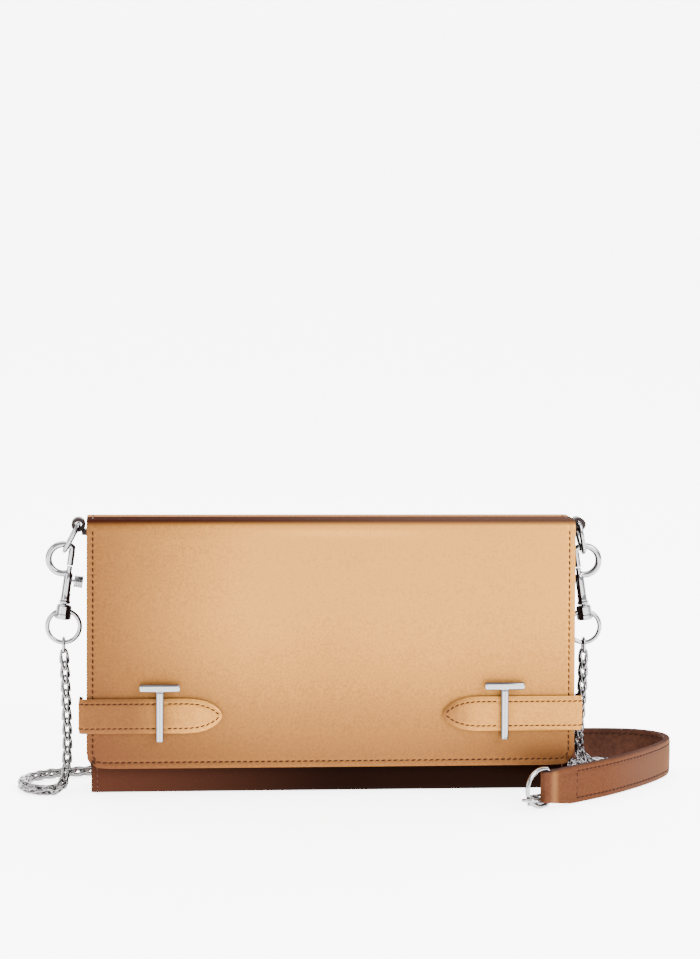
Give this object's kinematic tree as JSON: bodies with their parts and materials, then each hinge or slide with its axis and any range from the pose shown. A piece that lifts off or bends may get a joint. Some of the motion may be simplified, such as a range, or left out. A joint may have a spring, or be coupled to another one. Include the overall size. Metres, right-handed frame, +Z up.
{
  "type": "chain wallet",
  "caption": "Flap wallet in bronze leather with tab straps under metal T bars, a zipped coin pocket, and a clip-on chain strap with a leather shoulder pad.",
  "frame": {"origin": "middle of the base, on the surface the wallet stands on", "axes": "+X to the wearer's right when the flap faces the viewer, along the wallet's length; front towards -Y; +Z up"},
  "size_m": [0.2904, 0.1275, 0.118],
  "materials": {
    "bronze_leather": "smooth metallic bronze leather with a soft sheen",
    "dark_leather": "dark brown smooth leather, matte",
    "lining_cloth": "fine twill lining",
    "board": "bag maker's board, sealed inside",
    "polished_metal": "polished silver-coloured plating",
    "plain_steel": "plain steel"
  },
  "bodies": {
    "body": {"outer_wrap": "bronze_leather", "body_lining": "lining_cloth", "back_board": "board", "base_board": "board", "front_board": "board", "gusset_left": "dark_leather", "gusset_right": "dark_leather", "front_magnet_left": "plain_steel", "front_magnet_right": "plain_steel", "card_slot_1": "dark_leather", "card_slot_2": "dark_leather", "card_slot_3": "dark_leather", "card_slot_4": "dark_leather", "coin_pocket": "lining_cloth", "zip_row_front": "plain_steel", "zip_row_back": "plain_steel", "ring_loop_left": "dark_leather", "ring_loop_right": "dark_leather", "chain_left": "polished_metal", "chain_right": "polished_metal", "shoulder_pad": "bronze_leather", "pad_ring_near": "polished_metal", "pad_ring_far": "polished_metal", "pad_link_near": "polished_metal", "pad_link_far": "polished_metal"},
    "top_strip": {"spine_leather": "bronze_leather", "spine_lining": "lining_cloth"},
    "flap": {"flap_leather": "bronze_leather", "flap_board": "board", "flap_lining": "lining_cloth", "flap_magnet_left": "plain_steel", "flap_magnet_right": "plain_steel", "tab_strap_left": "bronze_leather", "tab_strap_right": "bronze_leather", "t_bar_left": "polished_metal", "t_bar_right": "polished_metal", "post_washer_left_top": "plain_steel", "post_washer_left_foot": "plain_steel", "post_washer_right_top": "plain_steel", "post_washer_right_foot": "plain_steel"},
    "zip_slider": {"zip_slider": "polished_metal"},
    "zip_pull": {"zip_pull": "polished_metal"},
    "ring_left": {"d_ring_left": "polished_metal"},
    "hook_left": {"snap_hook_left": "polished_metal", "gate_spring_left": "plain_steel"},
    "gate_left": {"gate_left": "polished_metal"},
    "swivel_left": {"swivel_left": "polished_metal"},
    "o_ring_left": {"o_ring_left": "polished_metal", "end_link_left": "polished_metal"},
    "ring_right": {"d_ring_right": "polished_metal"},
    "hook_right": {"snap_hook_right": "polished_metal", "gate_spring_right": "plain_steel"},
    "gate_right": {"gate_right": "polished_metal"},
    "swivel_right": {"swivel_right": "polished_metal"},
    "o_ring_right": {"o_ring_right": "polished_metal", "end_link_right": "polished_metal"}
  },
  "joints": [
    {"name": "top_fold", "type": "hinge", "parent": "body", "child": "top_strip", "pos_m": [0, 0.0142, 0.1166], "axis": [-1, 0, 0], "range_deg": [0, 100]},
    {"name": "flap_fold", "type": "hinge", "parent": "top_strip", "child": "flap", "pos_m": [0, -0.0106, 0.1166], "axis": [-1, 0, 0], "range_deg": [0, 170]},
    {"name": "zip_slide", "type": "slide", "parent": "body", "child": "zip_slider", "axis": [1, 0, 0], "range_m": [0, 0.152]},
    {"name": "zip_pull_hinge", "type": "hinge", "parent": "zip_slider", "child": "zip_pull", "pos_m": [-0.08, 0.0023, 0.1001], "axis": [0, -1, 0], "range_deg": [0, 165]},
    {"name": "ring_swing_left", "type": "hinge", "parent": "body", "child": "ring_left", "pos_m": [-0.1086, 0.003, 0.1147], "axis": [0, 1, 0], "range_deg": [-2, 25]},
    {"name": "hook_swing_left", "type": "hinge", "parent": "ring_left", "child": "hook_left", "pos_m": [-0.1146, 0.003, 0.10317], "axis": [0, 1, 0], "range_deg": [-3, 12]},
    {"name": "gate_slide_left", "type": "slide", "parent": "hook_left", "child": "gate_left", "axis": [-0.1392, 0, -0.9903], "range_m": [0, 0.0038], "stiffness_N_per_m": 150, "springref_m": -0.004, "deforming": ["gate_spring_left"]},
    {"name": "swivel_spin_left", "type": "hinge", "parent": "hook_left", "child": "swivel_left", "pos_m": [-0.11143, 0.003, 0.10272], "axis": [0.1392, 0, 0.9903], "continuous": true},
    {"name": "o_ring_swing_left", "type": "hinge", "parent": "swivel_left", "child": "o_ring_left", "pos_m": [-0.115, 0.003, 0.07737], "axis": [1, 0, 0], "range_deg": [-12, 12]},
    {"name": "ring_swing_right", "type": "hinge", "parent": "body", "child": "ring_right", "pos_m": [0.1086, 0.003, 0.1147], "axis": [0, -1, 0], "range_deg": [0, 25]},
    {"name": "hook_swing_right", "type": "hinge", "parent": "ring_right", "child": "hook_right", "pos_m": [0.1113, 0.003, 0.10198], "axis": [0, -1, 0], "range_deg": [-1, 12]},
    {"name": "gate_slide_right", "type": "slide", "parent": "hook_right", "child": "gate_right", "axis": [0.1564, 0, -0.9877], "range_m": [0, 0.0038], "stiffness_N_per_m": 150, "springref_m": -0.004, "deforming": ["gate_spring_right"]},
    {"name": "swivel_spin_right", "type": "hinge", "parent": "hook_right", "child": "swivel_right", "pos_m": [0.10814, 0.003, 0.10148], "axis": [-0.1564, 0, 0.9877], "continuous": true},
    {"name": "o_ring_swing_right", "type": "hinge", "parent": "swivel_right", "child": "o_ring_right", "pos_m": [0.11215, 0.003, 0.0762], "axis": [1, 0, 0], "range_deg": [-12, 12]}
  ]
}
